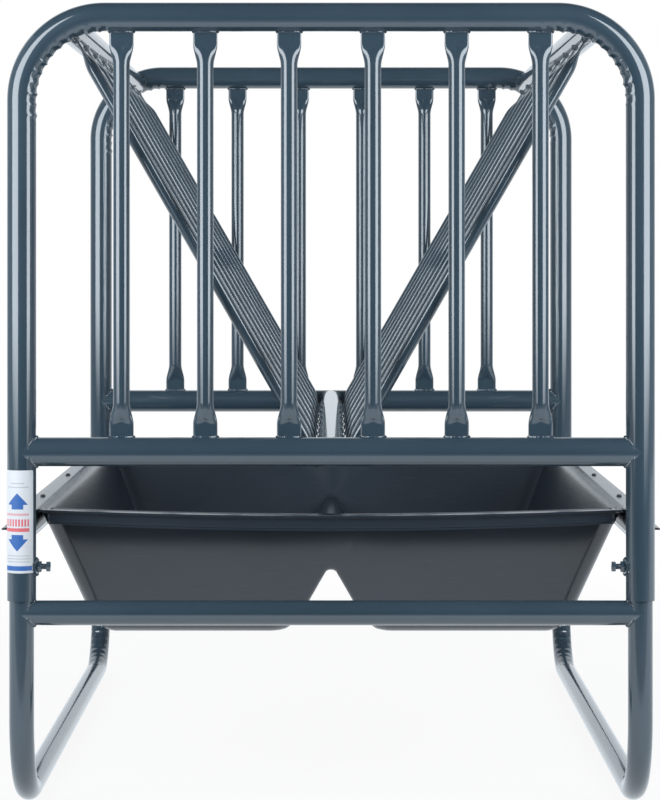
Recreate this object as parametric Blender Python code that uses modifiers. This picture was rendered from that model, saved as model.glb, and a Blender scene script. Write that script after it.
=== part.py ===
"""Hay and grain feeder for livestock.

A welded frame of round steel tube carries a V-shaped hay rack over a moulded grain trough.
Its four legs are sleeves that slide on a base of two U-shaped skids, and a set bolt in each
sleeve clamps the height. Metres, +Z up, the origin on the ground under the middle, and the
feeder's length along Y.
"""

import math

import bmesh
import bpy
from mathutils import Matrix, Vector

INCH = 0.0254
GAP = 0.0003
TINY = 0.00001

# Overall layout
OVERALL_LENGTH = 60 * INCH
LEG_X = 0.475
TOP_BAR_Z = 1.2243
LOWER_RAIL_Z = 0.5568
TROUGH_RAIL_Z = 0.4385
BASE_BAR_Z = 0.3095
BEND_RADIUS = 5 * INCH

# Tubes
FRAME_RADIUS = 1.75 * INCH / 2
BASE_RADIUS = 1.5 * INCH / 2
TUBE_WALL = 0.0021
TUBE_SIDES = 12
BEND_STEPS = 6
COPE_GAP = 0.0006
END_Y = OVERALL_LENGTH / 2 - FRAME_RADIUS
SLEEVE_BOTTOM_Z = BASE_BAR_Z + BASE_RADIUS + GAP
SKID_LEG_TOP_Z = 0.6335

# Upright pickets of the end frames, and slanted bars of the hay rack
PICKET_RADIUS = 1.0 * INCH / 2
PICKET_PITCH = 0.1287
PICKETS_PER_END = 6
PICKET_SIDES = 10
RACK_RADIUS = 0.75 * INCH / 2
RACK_BARS_PER_SIDE = 9
RACK_END_INSET = 0.038
RACK_SIDES = 8
RACK_LAP_BELOW = 0.012
FLAT_THICKNESS = 0.0045
FLAT_LENGTH = 0.017
FLARE_LENGTH = 0.030
FLARE_RINGS = (0.0, 0.3, 0.7, 1.0)
TOP_RAIL_ANGLE = math.radians(26.6)

# Grain trough: the named sizes are those of its underside
TROUGH_WALL = 0.004
RIM_Z = TROUGH_RAIL_Z + FRAME_RADIUS + GAP
FLOOR_Z = 0.259
TUB_HALF_WIDTH = 0.4535
TUB_HALF_LENGTH = 0.679
WALL_SLOPE = 0.408
TUB_EDGE_OFFSET = 0.028
RIDGE_TOP_Z = 0.363
RIDGE_TOP_WIDTH = 0.013
RIDGE_TOP_ROUNDING = 0.4 * RIDGE_TOP_WIDTH
RIDGE_SIDE_ANGLE = math.radians(28.6)
RIDGE_FILLET = 0.010
RIM_HALF_WIDTH = LEG_X
RIM_HALF_LENGTH = 0.712
RIM_CORNER = 0.037
RIM_END_CUTS = 7
RIM_SAG = 0.009
ROLL_CORNERS = (math.radians(15), math.radians(45))
ROLL_LIP = 0.025
SKIRT_DEPTH = 0.024

# Screws that hold the trough's long rims to the rails under them
SCREW_X = 0.470
SCREW_FIRST_Y = -0.472
SCREW_PITCH = 0.433
SCREWS_PER_SIDE = 3
SCREW_RADIUS = 0.0027
SCREW_LENGTH = 0.020
SCREW_POINT = 0.005
SCREW_HOLE_LENGTH = 0.050
SCREW_WASHER_RADIUS = 0.0062
SCREW_WASHER = 0.0012
SCREW_HEAD_FLATS = 0.0080
SCREW_HEAD = 0.0045

# Set bolts that clamp the sleeves, and the nuts welded over their holes
CLAMP_Z = 0.3806
BOLT_RADIUS = 0.375 * INCH / 2
BOLT_HEAD_FLATS = 0.5625 * INCH
BOLT_HEAD = 0.006
BOLT_HEAD_FACE_X = 0.4307
BOLT_TIP_X = LEG_X - BASE_RADIUS - 0.0004
BOLT_HOLE_RADIUS = BOLT_RADIUS + 0.0004
NUT_FLATS = 0.0160
NUT_THICKNESS = 0.0085
NUT_SADDLE = 0.0020


def empty_scene():
    for obj in list(bpy.data.objects):
        bpy.data.objects.remove(obj)


def new_collection(name):
    collection = bpy.data.collections.new(name)
    bpy.context.scene.collection.children.link(collection)
    return collection


def finish(name, colour, roughness, metallic):
    material = bpy.data.materials.new(name)
    material.use_nodes = True
    shader = material.node_tree.nodes["Principled BSDF"]
    shader.inputs["Base Color"].default_value = (*colour, 1)
    shader.inputs["Roughness"].default_value = roughness
    shader.inputs["Metallic"].default_value = metallic
    return material


empty_scene()
PARTS = new_collection("hay_and_grain_feeder")
CUTTERS = new_collection("cutters")
FRAME_PAINT = finish("frame_paint", (0.048, 0.082, 0.112), 0.28, 0.1)
BASE_PAINT = finish("base_paint", (0.048, 0.082, 0.112), 0.32, 0.1)
TROUGH_PLASTIC = finish("trough_plastic", (0.052, 0.060, 0.073), 0.45, 0.0)
SCREW_STEEL = finish("screw_steel", (0.32, 0.33, 0.35), 0.35, 1.0)


def add_object(name, data, collection, parent=None, material=None):
    obj = bpy.data.objects.new(name, data)
    collection.objects.link(obj)
    obj.parent = parent
    if material:
        data.materials.clear()
        data.materials.append(material)
    if collection is CUTTERS:
        obj.hide_render = True
        obj.display_type = "WIRE"
    return obj


def add_empty(name, parent=None):
    return add_object(name, None, PARTS, parent)


def smooth(obj):
    obj.data.shade_smooth()
    obj.data.set_sharp_from_angle(angle=math.radians(40))


def cut_away(obj, cutter):
    """Take the cutter's shape out of the object."""
    modifier = obj.modifiers.new("cut_" + cutter.name, "BOOLEAN")
    modifier.operation = "DIFFERENCE"
    modifier.object = cutter


def join_on(obj, other):
    """Add the other shape to the object, as one body."""
    modifier = obj.modifiers.new("join_" + other.name, "BOOLEAN")
    modifier.operation = "UNION"
    modifier.object = other


def make_hollow(obj, wall):
    """Give an open outer surface its wall, on the inside."""
    modifier = obj.modifiers.new("wall", "SOLIDIFY")
    modifier.thickness = wall
    modifier.offset = -1
    modifier.use_even_offset = True


def bent_route(corners, bend_radius):
    """The points of a tube's centre line, with each inner corner turned as an arc."""
    corners = [Vector(corner) for corner in corners]
    points = [corners[0]]
    for before, corner, after in zip(corners, corners[1:], corners[2:]):
        to_before = (before - corner).normalized()
        to_after = (after - corner).normalized()
        half_angle = to_before.angle(to_after) / 2
        centre = corner + (to_before + to_after).normalized() * bend_radius / math.sin(half_angle)
        start = corner + to_before * bend_radius / math.tan(half_angle) - centre
        turn_axis = start.cross(corner - centre)
        turn = math.pi - 2 * half_angle
        for step in range(BEND_STEPS + 1):
            spin = Matrix.Rotation(turn * step / BEND_STEPS, 3, turn_axis)
            points.append(centre + spin @ start)
    points.append(corners[-1])
    return points


def bent_tube(name, route, radius, collection, parent=None, material=None, closed=False):
    """A tube along a route, as a mesh, with a flat side facing along each axis."""
    curve = bpy.data.curves.new(name, "CURVE")
    curve.dimensions = "3D"
    curve.bevel_depth = radius / math.cos(math.pi / TUBE_SIDES)
    curve.bevel_resolution = (TUBE_SIDES - 4) // 2
    curve.use_fill_caps = closed
    spline = curve.splines.new("POLY")
    spline.points.add(len(route) - 1)
    for point, place in zip(spline.points, route):
        point.co = (*place, 1)
        point.tilt = math.pi / TUBE_SIDES
    guide = bpy.data.objects.new(name + "_curve", curve)
    CUTTERS.objects.link(guide)
    depsgraph = bpy.context.evaluated_depsgraph_get()
    mesh = bpy.data.meshes.new_from_object(guide.evaluated_get(depsgraph))
    place = guide.matrix_world.copy()
    bpy.data.objects.remove(guide)
    bm = bmesh.new()
    bm.from_mesh(mesh)
    bmesh.ops.remove_doubles(bm, verts=bm.verts, dist=TINY)
    bm.to_mesh(mesh)
    bm.free()
    obj = add_object(name, mesh, collection, parent, material)
    obj.matrix_world = place
    smooth(obj)
    return obj


def cylinder_mesh(name, radius, length, sides, turn=0.0, closed=True):
    """A cylinder along Z, centred on its origin."""
    bm = bmesh.new()
    bmesh.ops.create_cone(
        bm, cap_ends=closed, segments=sides, radius1=radius, radius2=radius, depth=length,
        matrix=Matrix.Rotation(turn, 4, "Z"),
    )
    mesh = bpy.data.meshes.new(name)
    bm.to_mesh(mesh)
    bm.free()
    return mesh


def lay_along(obj, start, end, side_axis):
    """Centre an object made along Z between two points, its X along side_axis."""
    start, end = Vector(start), Vector(end)
    along = (end - start).normalized()
    across = along.cross(Vector(side_axis)).normalized()
    side = across.cross(along)
    turn = Matrix((side, across, along)).transposed()
    obj.location = (start + end) / 2
    obj.rotation_euler = turn.to_euler()


def straight_tube(name, start, end, radius, parent, material, cutters):
    """A hollow rail between two points, its ends coped by the cutters."""
    length = (Vector(end) - Vector(start)).length
    flat_turn = math.pi / TUBE_SIDES
    outer = radius / math.cos(flat_turn)
    mesh = cylinder_mesh(name, outer, length, TUBE_SIDES, flat_turn, closed=False)
    obj = add_object(name, mesh, PARTS, parent, material)
    lay_along(obj, start, end, (0, 0, 1))
    smooth(obj)
    make_hollow(obj, TUBE_WALL)
    for cutter in cutters:
        cut_away(obj, cutter)
    return obj


def flattened_bar(name, start, end, wide_axis, radius, sides, parent):
    """A round bar whose two ends are pressed flat, wide along wide_axis."""
    length = (Vector(end) - Vector(start)).length
    flat_half_width = math.pi * radius / 2 - (math.pi / 2 - 1) * FLAT_THICKNESS / 2
    mesh = cylinder_mesh(name, radius, length, sides)
    bm = bmesh.new()
    bm.from_mesh(mesh)
    for share in FLARE_RINGS:
        ring_z = length / 2 - FLAT_LENGTH - FLARE_LENGTH * share
        for z in (-ring_z, ring_z):
            bmesh.ops.bisect_plane(
                bm, geom=bm.verts[:] + bm.edges[:] + bm.faces[:], dist=TINY,
                plane_co=(0, 0, z), plane_no=(0, 0, 1),
            )
    for vert in bm.verts:
        from_flat = length / 2 - FLAT_LENGTH - abs(vert.co.z)
        share = min(max(from_flat / FLARE_LENGTH, 0.0), 1.0)
        roundness = share * share * (3 - 2 * share)
        vert.co.x *= 1 + (flat_half_width / radius - 1) * (1 - roundness)
        vert.co.y *= 1 + (FLAT_THICKNESS / 2 / radius - 1) * (1 - roundness)
    bm.to_mesh(mesh)
    bm.free()
    obj = add_object(name, mesh, PARTS, parent, FRAME_PAINT)
    lay_along(obj, start, end, wide_axis)
    smooth(obj)
    return obj


def hexagon_mesh(name, flats, length):
    """A hexagonal block along Z, with two of its flats facing along X."""
    return cylinder_mesh(name, flats / 2 / math.cos(math.pi / 6), length, 6, math.pi / 6)


# The parts hang from two groups: the base on the ground, and the frame that slides on it
base = add_empty("base")
upper_frame = add_empty("upper_frame", base)


def skid_route(x):
    run_z = BASE_RADIUS
    corners = [(x, -END_Y, SKID_LEG_TOP_Z), (x, -END_Y, run_z), (x, END_Y, run_z),
               (x, END_Y, SKID_LEG_TOP_Z)]
    return bent_route(corners, BEND_RADIUS)


def make_base():
    """Two U-shaped skids with their legs up, and a cross bar at each end."""
    clearances = []
    for side, x in (("left", -LEG_X), ("right", LEG_X)):
        skid = bent_tube(side + "_skid", skid_route(x), BASE_RADIUS, PARTS, base, BASE_PAINT)
        make_hollow(skid, TUBE_WALL)
        clearances.append(bent_tube(side + "_skid_clearance", skid_route(x),
                                    BASE_RADIUS + COPE_GAP, CUTTERS, closed=True))
    for end, y in (("front", -END_Y), ("back", END_Y)):
        straight_tube(end + "_base_bar", (-LEG_X, y, BASE_BAR_Z), (LEG_X, y, BASE_BAR_Z),
                      BASE_RADIUS, base, BASE_PAINT, clearances)


def arch_route(y, bottom_z):
    corners = [(-LEG_X, y, bottom_z), (-LEG_X, y, TOP_BAR_Z), (LEG_X, y, TOP_BAR_Z),
               (LEG_X, y, bottom_z)]
    return bent_route(corners, BEND_RADIUS)


def bolt_hole_cutter(end, y, side, direction):
    """A round hole through a sleeve's inner wall and the nut on it."""
    name = end + "_" + side + "_bolt_hole"
    inner = LEG_X - FRAME_RADIUS - 2 * NUT_THICKNESS
    hole = add_object(name, cylinder_mesh(name, BOLT_HOLE_RADIUS, LEG_X - inner, TUBE_SIDES),
                      CUTTERS)
    lay_along(hole, (direction * inner, y, CLAMP_Z), (direction * LEG_X, y, CLAMP_Z), (0, 0, 1))
    return hole


def make_end_frame(end, y):
    """An arch whose legs are the sleeves, its lower rail and its pickets."""
    clearance = bent_tube(end + "_arch_clearance", arch_route(y, SLEEVE_BOTTOM_Z - COPE_GAP),
                          FRAME_RADIUS + COPE_GAP, CUTTERS, closed=True)
    arch = bent_tube(end + "_arch", arch_route(y, SLEEVE_BOTTOM_Z), FRAME_RADIUS, PARTS,
                     upper_frame, FRAME_PAINT)
    make_hollow(arch, TUBE_WALL)
    for side, direction in (("left", -1), ("right", 1)):
        hole = bolt_hole_cutter(end, y, side, direction)
        cut_away(arch, hole)
        make_clamp(end, y, side, direction, clearance, hole)
    straight_tube(end + "_lower_rail", (-LEG_X, y, LOWER_RAIL_Z), (LEG_X, y, LOWER_RAIL_Z),
                  FRAME_RADIUS, upper_frame, FRAME_PAINT, [clearance])
    foot_z = LOWER_RAIL_Z + FRAME_RADIUS + GAP
    head_z = TOP_BAR_Z - FRAME_RADIUS - GAP
    for number in range(PICKETS_PER_END):
        x = (number - (PICKETS_PER_END - 1) / 2) * PICKET_PITCH
        flattened_bar(f"{end}_picket_{number + 1}", (x, y, foot_z), (x, y, head_z), (1, 0, 0),
                      PICKET_RADIUS, PICKET_SIDES, upper_frame)
    return clearance


def make_clamp(end, y, side, direction, sleeve_clearance, hole):
    """A nut welded over a sleeve's hole, and the set bolt through both."""
    nut_name = f"{end}_{side}_weld_nut"
    sleeve_face = LEG_X - FRAME_RADIUS
    nut = add_object(nut_name, hexagon_mesh(nut_name, NUT_FLATS, NUT_THICKNESS + NUT_SADDLE),
                     PARTS, upper_frame, FRAME_PAINT)
    lay_along(nut, (direction * (sleeve_face - NUT_THICKNESS), y, CLAMP_Z),
              (direction * (sleeve_face + NUT_SADDLE), y, CLAMP_Z), (0, 0, 1))
    cut_away(nut, sleeve_clearance)
    cut_away(nut, hole)

    bolt_name = f"{end}_{side}_clamp_bolt"
    length = BOLT_TIP_X - BOLT_HEAD_FACE_X
    bolt = add_object(bolt_name, cylinder_mesh(bolt_name, BOLT_RADIUS, length, TUBE_SIDES), PARTS,
                      upper_frame, FRAME_PAINT)
    lay_along(bolt, (direction * BOLT_HEAD_FACE_X, y, CLAMP_Z),
              (direction * BOLT_TIP_X, y, CLAMP_Z), (0, 0, 1))
    head = add_object(bolt_name + "_head", hexagon_mesh("head", BOLT_HEAD_FLATS, BOLT_HEAD),
                      CUTTERS)
    lay_along(head, (direction * BOLT_HEAD_FACE_X, y, CLAMP_Z),
              (direction * (BOLT_HEAD_FACE_X + BOLT_HEAD), y, CLAMP_Z), (0, 0, 1))
    join_on(bolt, head)
    smooth(bolt)


def make_long_rails(arch_clearances):
    """The two top rails, the two rails that carry the trough, and the centre rail."""
    top_x = LEG_X - BEND_RADIUS * (1 - math.sin(TOP_RAIL_ANGLE))
    top_z = TOP_BAR_Z - BEND_RADIUS * (1 - math.cos(TOP_RAIL_ANGLE))
    for side, direction in (("left", -1), ("right", 1)):
        for rail, x, z in (("top_rail", top_x, top_z), ("trough_rail", LEG_X, TROUGH_RAIL_Z)):
            straight_tube(f"{side}_{rail}", (direction * x, -END_Y, z), (direction * x, END_Y, z),
                          FRAME_RADIUS, upper_frame, FRAME_PAINT, arch_clearances)
    flat_turn = math.pi / TUBE_SIDES
    outer = (FRAME_RADIUS + COPE_GAP) / math.cos(flat_turn)
    cross_cutters = []
    for end, y in (("front", -END_Y), ("back", END_Y)):
        name = end + "_lower_rail_clearance"
        cutter = add_object(name, cylinder_mesh(name, outer, LEG_X, TUBE_SIDES, flat_turn),
                            CUTTERS)
        lay_along(cutter, (-LEG_X / 2, y, LOWER_RAIL_Z), (LEG_X / 2, y, LOWER_RAIL_Z), (0, 0, 1))
        cross_cutters.append(cutter)
    straight_tube("centre_rail", (0, -END_Y, LOWER_RAIL_Z), (0, END_Y, LOWER_RAIL_Z),
                  FRAME_RADIUS, upper_frame, FRAME_PAINT, cross_cutters)
    return Vector((top_x, 0, top_z))


def make_hay_rack(top_rail):
    """Slanted bars from each top rail down to the side of the centre rail."""
    centre = Vector((0, 0, LOWER_RAIL_Z))
    lap = FRAME_RADIUS + FLAT_THICKNESS / 2 + 2 * GAP
    down = centre - top_rail
    slant = math.atan2(-down.x, -down.z) - math.asin(lap / down.length)
    along = Vector((-math.sin(slant), 0, -math.cos(slant)))
    head = top_rail + along * (FRAME_RADIUS + 4 * GAP)
    foot = top_rail + along * (math.sqrt(down.length_squared - lap * lap) + RACK_LAP_BELOW)
    reach = END_Y - RACK_END_INSET
    for side, direction in (("left", -1), ("right", 1)):
        for number in range(RACK_BARS_PER_SIDE):
            y = reach * (2 * number / (RACK_BARS_PER_SIDE - 1) - 1)
            flattened_bar(f"{side}_rack_bar_{number + 1}", (direction * foot.x, y, foot.z),
                          (direction * head.x, y, head.z), (0, 1, 0), RACK_RADIUS, RACK_SIDES,
                          upper_frame)


def ridge_cutter():
    """The hollow under the trough's centre ridge, as a long prism with a rounded top."""
    bottom_z = FLOOR_Z - TUB_EDGE_OFFSET
    height = RIDGE_TOP_Z - bottom_z
    foot_half_width = RIDGE_TOP_WIDTH / 2 + height * math.tan(RIDGE_SIDE_ANGLE)
    bm = bmesh.new()
    bmesh.ops.create_cube(bm, size=1)
    for vert in bm.verts:
        top = vert.co.z > 0
        vert.co.x *= RIDGE_TOP_WIDTH if top else 2 * foot_half_width
        vert.co.y *= 2 * TUB_HALF_LENGTH
        vert.co.z = RIDGE_TOP_Z if top else bottom_z
    crown = [edge for edge in bm.edges
             if all(vert.co.z > FLOOR_Z for vert in edge.verts)
             and abs(edge.verts[0].co.y - edge.verts[1].co.y) > TUB_HALF_LENGTH]
    bmesh.ops.bevel(bm, geom=crown, offset=RIDGE_TOP_ROUNDING, offset_type="OFFSET",
                    segments=2, profile=0.5, affect="EDGES")
    mesh = bpy.data.meshes.new("ridge_hollow")
    bm.to_mesh(mesh)
    bm.free()
    return add_object("ridge_hollow", mesh, CUTTERS)


def tub_block():
    """The tub's outside as a closed block, its side and bottom edges rounded."""
    bm = bmesh.new()
    bmesh.ops.create_cube(bm, size=2)
    drop = RIM_Z - FLOOR_Z
    for vert in bm.verts:
        top = vert.co.z > 0
        inset = 0.0 if top else drop * WALL_SLOPE
        vert.co.x *= TUB_HALF_WIDTH - inset
        vert.co.y *= TUB_HALF_LENGTH - inset
        vert.co.z = RIM_Z if top else FLOOR_Z
    edges = [edge for edge in bm.edges if any(vert.co.z < RIM_Z - drop / 2 for vert in edge.verts)]
    bmesh.ops.bevel(bm, geom=edges, offset=TUB_EDGE_OFFSET, offset_type="OFFSET", segments=3,
                    profile=0.5, affect="EDGES")
    mesh = bpy.data.meshes.new("trough")
    bm.to_mesh(mesh)
    bm.free()
    block = add_object("trough", mesh, PARTS, upper_frame, TROUGH_PLASTIC)
    cut_away(block, ridge_cutter())
    depsgraph = bpy.context.evaluated_depsgraph_get()
    cut = bpy.data.meshes.new_from_object(block.evaluated_get(depsgraph))
    block.modifiers.clear()
    block.data = cut
    return block


def extrude_rim(bm, edges, place):
    """Extrude rim edges and put each new point where place() says; return the new edges."""
    made = bmesh.ops.extrude_edge_only(bm, edges=edges)["geom"]
    for vert in (item for item in made if isinstance(item, bmesh.types.BMVert)):
        vert.co = place(vert.co)
    return [item for item in made if isinstance(item, bmesh.types.BMEdge)]


def sag_at(x, y):
    """How far the rim droops at the middle of each end."""
    if abs(y) < TUB_HALF_LENGTH - TUB_EDGE_OFFSET:
        return 0.0
    return RIM_SAG * max(0.0, 1 - (x / (RIM_HALF_WIDTH - RIM_CORNER)) ** 2)


def flange_place(co):
    """From the tub's mouth to the outer edge of the flat rim, with a rounded corner."""
    straight_x = TUB_HALF_WIDTH - TUB_EDGE_OFFSET
    straight_y = TUB_HALF_LENGTH - TUB_EDGE_OFFSET
    inner = Vector((min(abs(co.x), straight_x), min(abs(co.y), straight_y)))
    out = (Vector((abs(co.x), abs(co.y))) - inner).normalized()
    x = inner.x * (RIM_HALF_WIDTH - RIM_CORNER) / straight_x + out.x * RIM_CORNER
    y = inner.y * (RIM_HALF_LENGTH - RIM_CORNER) / straight_y + out.y * RIM_CORNER
    x, y = math.copysign(x, co.x), math.copysign(y, co.y)
    return Vector((x, y, RIM_Z - sag_at(x, y)))


def roll_place(angle, lip):
    """A place on the rolled edge that follows the rail under it, angle down from its top."""
    radius = (FRAME_RADIUS + GAP) / math.cos(math.pi / TUBE_SIDES)

    def place(co):
        x = LEG_X + radius * math.sin(angle) + lip * math.cos(angle)
        z = TROUGH_RAIL_Z + radius * math.cos(angle) - lip * math.sin(angle)
        return Vector((math.copysign(x, co.x), co.y, z))

    return place


def is_ridge_side(face):
    """Whether a face of the cut tub block belongs to the hollow under the ridge."""
    half_width = RIDGE_TOP_WIDTH / 2 + (RIDGE_TOP_Z - FLOOR_Z) * math.tan(RIDGE_SIDE_ANGLE)
    inside = all(abs(vert.co.x) < half_width + TINY for vert in face.verts)
    return inside and round(face.normal.y, 2) == 0


def make_trough(screw_holes):
    """The moulded trough: a tub with a centre ridge, hung by its rolled long rims."""
    trough = tub_block()
    bm = bmesh.new()
    bm.from_mesh(trough.data)
    notch = [edge for edge in bm.edges
             if len(edge.link_faces) == 2
             and any(is_ridge_side(face) for face in edge.link_faces)
             and not all(is_ridge_side(face) for face in edge.link_faces)]
    bmesh.ops.bevel(bm, geom=notch, offset=RIDGE_FILLET, offset_type="OFFSET", segments=2,
                    profile=0.5, affect="EDGES")
    lid = [face for face in bm.faces if all(abs(v.co.z - RIM_Z) < TINY for v in face.verts)]
    bmesh.ops.delete(bm, geom=lid, context="FACES_ONLY")
    ends = [edge for edge in bm.edges if edge.is_boundary
            and abs(edge.verts[0].co.x - edge.verts[1].co.x) > TUB_HALF_WIDTH]
    bmesh.ops.subdivide_edges(bm, edges=ends, cuts=RIM_END_CUTS, use_grid_fill=False)
    mouth = [edge for edge in bm.edges if edge.is_boundary]
    for vert in {vert for edge in mouth for vert in edge.verts}:
        vert.co.z = RIM_Z - sag_at(vert.co.x, vert.co.y)
    rim = extrude_rim(bm, mouth, flange_place)

    long_edges = [edge for edge in rim
                  if all(abs(abs(v.co.x) - RIM_HALF_WIDTH) < TINY for v in edge.verts)]
    for angle, lip in [(angle, 0.0) for angle in ROLL_CORNERS] + [(ROLL_CORNERS[-1], ROLL_LIP)]:
        long_edges = extrude_rim(bm, long_edges, roll_place(angle, lip))
        long_edges = [edge for edge in long_edges
                      if abs(edge.verts[0].co.y - edge.verts[1].co.y) > TUB_HALF_LENGTH]

    end_edges = [edge for edge in rim
                 if all(abs(abs(v.co.y) - RIM_HALF_LENGTH) < TINY for v in edge.verts)]
    extrude_rim(bm, end_edges, lambda co: co - Vector((0, 0, SKIRT_DEPTH)))
    bmesh.ops.recalc_face_normals(bm, faces=bm.faces)
    lowest = min(bm.faces, key=lambda face: face.calc_center_median().z)
    if lowest.normal.z > 0:
        bmesh.ops.reverse_faces(bm, faces=bm.faces)
    bm.to_mesh(trough.data)
    bm.free()
    smooth(trough)
    make_hollow(trough, TROUGH_WALL)
    for hole in screw_holes:
        cut_away(trough, hole)


def make_trough_screws():
    """Hex washer-head screws down through each long rim into the rail; returns their holes."""
    holes = {}
    for side, direction in (("left", -1), ("right", 1)):
        for number in range(SCREWS_PER_SIDE):
            name = f"{side}_trough_screw_{number + 1}"
            place = Vector((direction * SCREW_X, SCREW_FIRST_Y + number * SCREW_PITCH,
                            RIM_Z + TROUGH_WALL + GAP))
            profile = [(0.0, SCREW_WASHER), (SCREW_WASHER_RADIUS, SCREW_WASHER),
                       (SCREW_WASHER_RADIUS, 0.0), (SCREW_RADIUS, 0.0),
                       (SCREW_RADIUS, SCREW_POINT - SCREW_LENGTH), (0.0, -SCREW_LENGTH)]
            mesh = bpy.data.meshes.new(name)
            mesh.from_pydata([(x, 0, z) for x, z in profile],
                             [(i, i + 1) for i in range(len(profile) - 1)], [])
            screw = add_object(name, mesh, PARTS, upper_frame, SCREW_STEEL)
            screw.location = place
            turned = screw.modifiers.new("turned", "SCREW")
            turned.steps = 8
            turned.render_steps = 8
            turned.use_merge_vertices = True
            turned.merge_threshold = TINY
            head_mesh = hexagon_mesh(name + "_head", SCREW_HEAD_FLATS, SCREW_HEAD)
            head = add_object(name + "_head", head_mesh, CUTTERS)
            head.location = place + Vector((0, 0, SCREW_WASHER / 2 + SCREW_HEAD / 2))
            join_on(screw, head)
            hole_mesh = cylinder_mesh(name + "_hole", SCREW_RADIUS + 2 * GAP, SCREW_HOLE_LENGTH, 8)
            hole = add_object(name + "_hole", hole_mesh, CUTTERS)
            hole.location = place
            holes.setdefault(side, []).append(hole)
    return holes


make_base()
clearances = [make_end_frame("front", -END_Y), make_end_frame("back", END_Y)]
top_rail_place = make_long_rails(clearances)
make_hay_rack(top_rail_place)
holes_by_side = make_trough_screws()
make_trough(holes_by_side["left"] + holes_by_side["right"])
for rail_side, side_holes in holes_by_side.items():
    for rail_hole in side_holes:
        cut_away(bpy.data.objects[rail_side + "_trough_rail"], rail_hole)
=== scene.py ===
"""The looks of a hay and grain feeder for livestock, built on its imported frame.

Sections follow the feeder as it is put together: the base on its skids, the end frames whose
legs slide over it, the rails and the hay rack, the trough, the clamps and the label.
"""

import math

import bmesh
import bpy
from mathutils import Matrix, Vector


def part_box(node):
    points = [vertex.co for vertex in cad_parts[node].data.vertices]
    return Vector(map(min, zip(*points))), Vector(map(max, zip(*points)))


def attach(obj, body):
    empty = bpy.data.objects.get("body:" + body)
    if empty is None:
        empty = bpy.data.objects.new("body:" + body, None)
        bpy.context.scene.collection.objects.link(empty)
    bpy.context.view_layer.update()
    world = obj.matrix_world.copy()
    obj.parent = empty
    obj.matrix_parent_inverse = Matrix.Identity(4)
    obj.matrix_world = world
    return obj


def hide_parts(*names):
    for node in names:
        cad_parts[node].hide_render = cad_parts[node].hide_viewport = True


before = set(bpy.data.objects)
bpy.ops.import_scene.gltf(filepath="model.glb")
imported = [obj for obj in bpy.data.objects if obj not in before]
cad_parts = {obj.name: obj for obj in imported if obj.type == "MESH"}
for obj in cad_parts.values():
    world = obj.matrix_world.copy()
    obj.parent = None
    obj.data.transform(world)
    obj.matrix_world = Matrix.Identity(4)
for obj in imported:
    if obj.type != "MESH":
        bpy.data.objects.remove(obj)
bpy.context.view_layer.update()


# The base stands on two skids of 1.5 inch round steel tube, each bent up at both ends into a
# leg. The bender has crushed the inside of every bend into small folds. All of the base is
# powder coated in a glossy slate blue.
skid_low, skid_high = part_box("left_skid")
BASE_RADIUS = (skid_high.x - skid_low.x) / 2
LEG_X = -(skid_low.x + skid_high.x) / 2
END_Y = skid_high.y - BASE_RADIUS
SKID_LEG_TOP = skid_high.z
BEND_RADIUS = 0.127
TUBE_WALL = 0.0021
TUBE_SIDES = 48
BEND_STEPS = 144
FOLD_PITCH = 0.0165
FOLD_SPREAD = (0.42, 0.80)
FOLD_REACH = 0.036
FOLD_REACH_STEPS = 24
FOLD_UNEVENNESS = 0.25
FOLD_BEAT = 2.4
FOLD_RIPPLE = 0.12
RIPPLES_PER_FOLD = 2.31
RIPPLE_START = 0.4
FOLD_SUNK = 0.25
SKID_FOLD_HEIGHT = 0.0016
SLATE_BLUE = (0.040, 0.068, 0.093)
SLATE_BLUE_PALE = (0.045, 0.075, 0.102)
END_YS = (("front", -END_Y), ("back", END_Y))
SIDE_SIGNS = (("left", -1), ("right", 1))
SHARP_ANGLE = math.radians(35)
TINY = 0.00001


class Value:
    """One output of a shader node. Sums with it add Math nodes to the same material."""

    def __init__(self, socket):
        self.socket = socket

    def node(self, kind, inputs, settings=None, output=0):
        """Add a node, with its settings first, and return one output."""
        tree = self.socket.id_data
        made = tree.nodes.new("ShaderNode" + kind)
        for setting, choice in (settings or {}).items():
            setattr(made, setting, choice)
        for name, value in inputs.items():
            if isinstance(value, Value):
                tree.links.new(value.socket, made.inputs[name])
            else:
                made.inputs[name].default_value = value
        return Value(made.outputs[output])

    def math(self, operation, first, second):
        return self.node("Math", {0: first, 1: second}, {"operation": operation})

    def __add__(self, other):
        return self.math("ADD", self, other)

    def __radd__(self, other):
        return self.math("ADD", other, self)

    def __sub__(self, other):
        return self.math("SUBTRACT", self, other)

    def __rsub__(self, other):
        return self.math("SUBTRACT", other, self)

    def __mul__(self, other):
        return self.math("MULTIPLY", self, other)

    def __rmul__(self, other):
        return self.math("MULTIPLY", other, self)

    def __gt__(self, other):
        return self.math("GREATER_THAN", self, other)

    def __lt__(self, other):
        return self.math("LESS_THAN", self, other)

    def fade(self, low, high):
        """0 below low, 1 above high, and a smooth step between."""
        return self.node("MapRange", {"Value": self, "From Min": low, "From Max": high},
                         {"interpolation_type": "SMOOTHSTEP"})

    def noise(self, scale, detail=2.0):
        return self.node("TexNoise", {"Vector": self, "Scale": scale, "Detail": detail})

    def blend(self, colour, other):
        """A colour where this value is 0, turning into another where it is 1."""
        names = {"Factor": self, 6: colour, 7: other}
        return self.node("Mix", names, {"data_type": "RGBA"}, output=2)


def new_finish(name):
    """A material, its shader, and the object coordinates its pattern reads."""
    material = bpy.data.materials.new(name)
    material.use_nodes = True
    shader = material.node_tree.nodes["Principled BSDF"]
    texture = material.node_tree.nodes.new("ShaderNodeTexCoord")
    return material, shader, Value(texture.outputs["Object"])


def feed(node, name, value):
    value.socket.id_data.links.new(value.socket, node.inputs[name])


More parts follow.
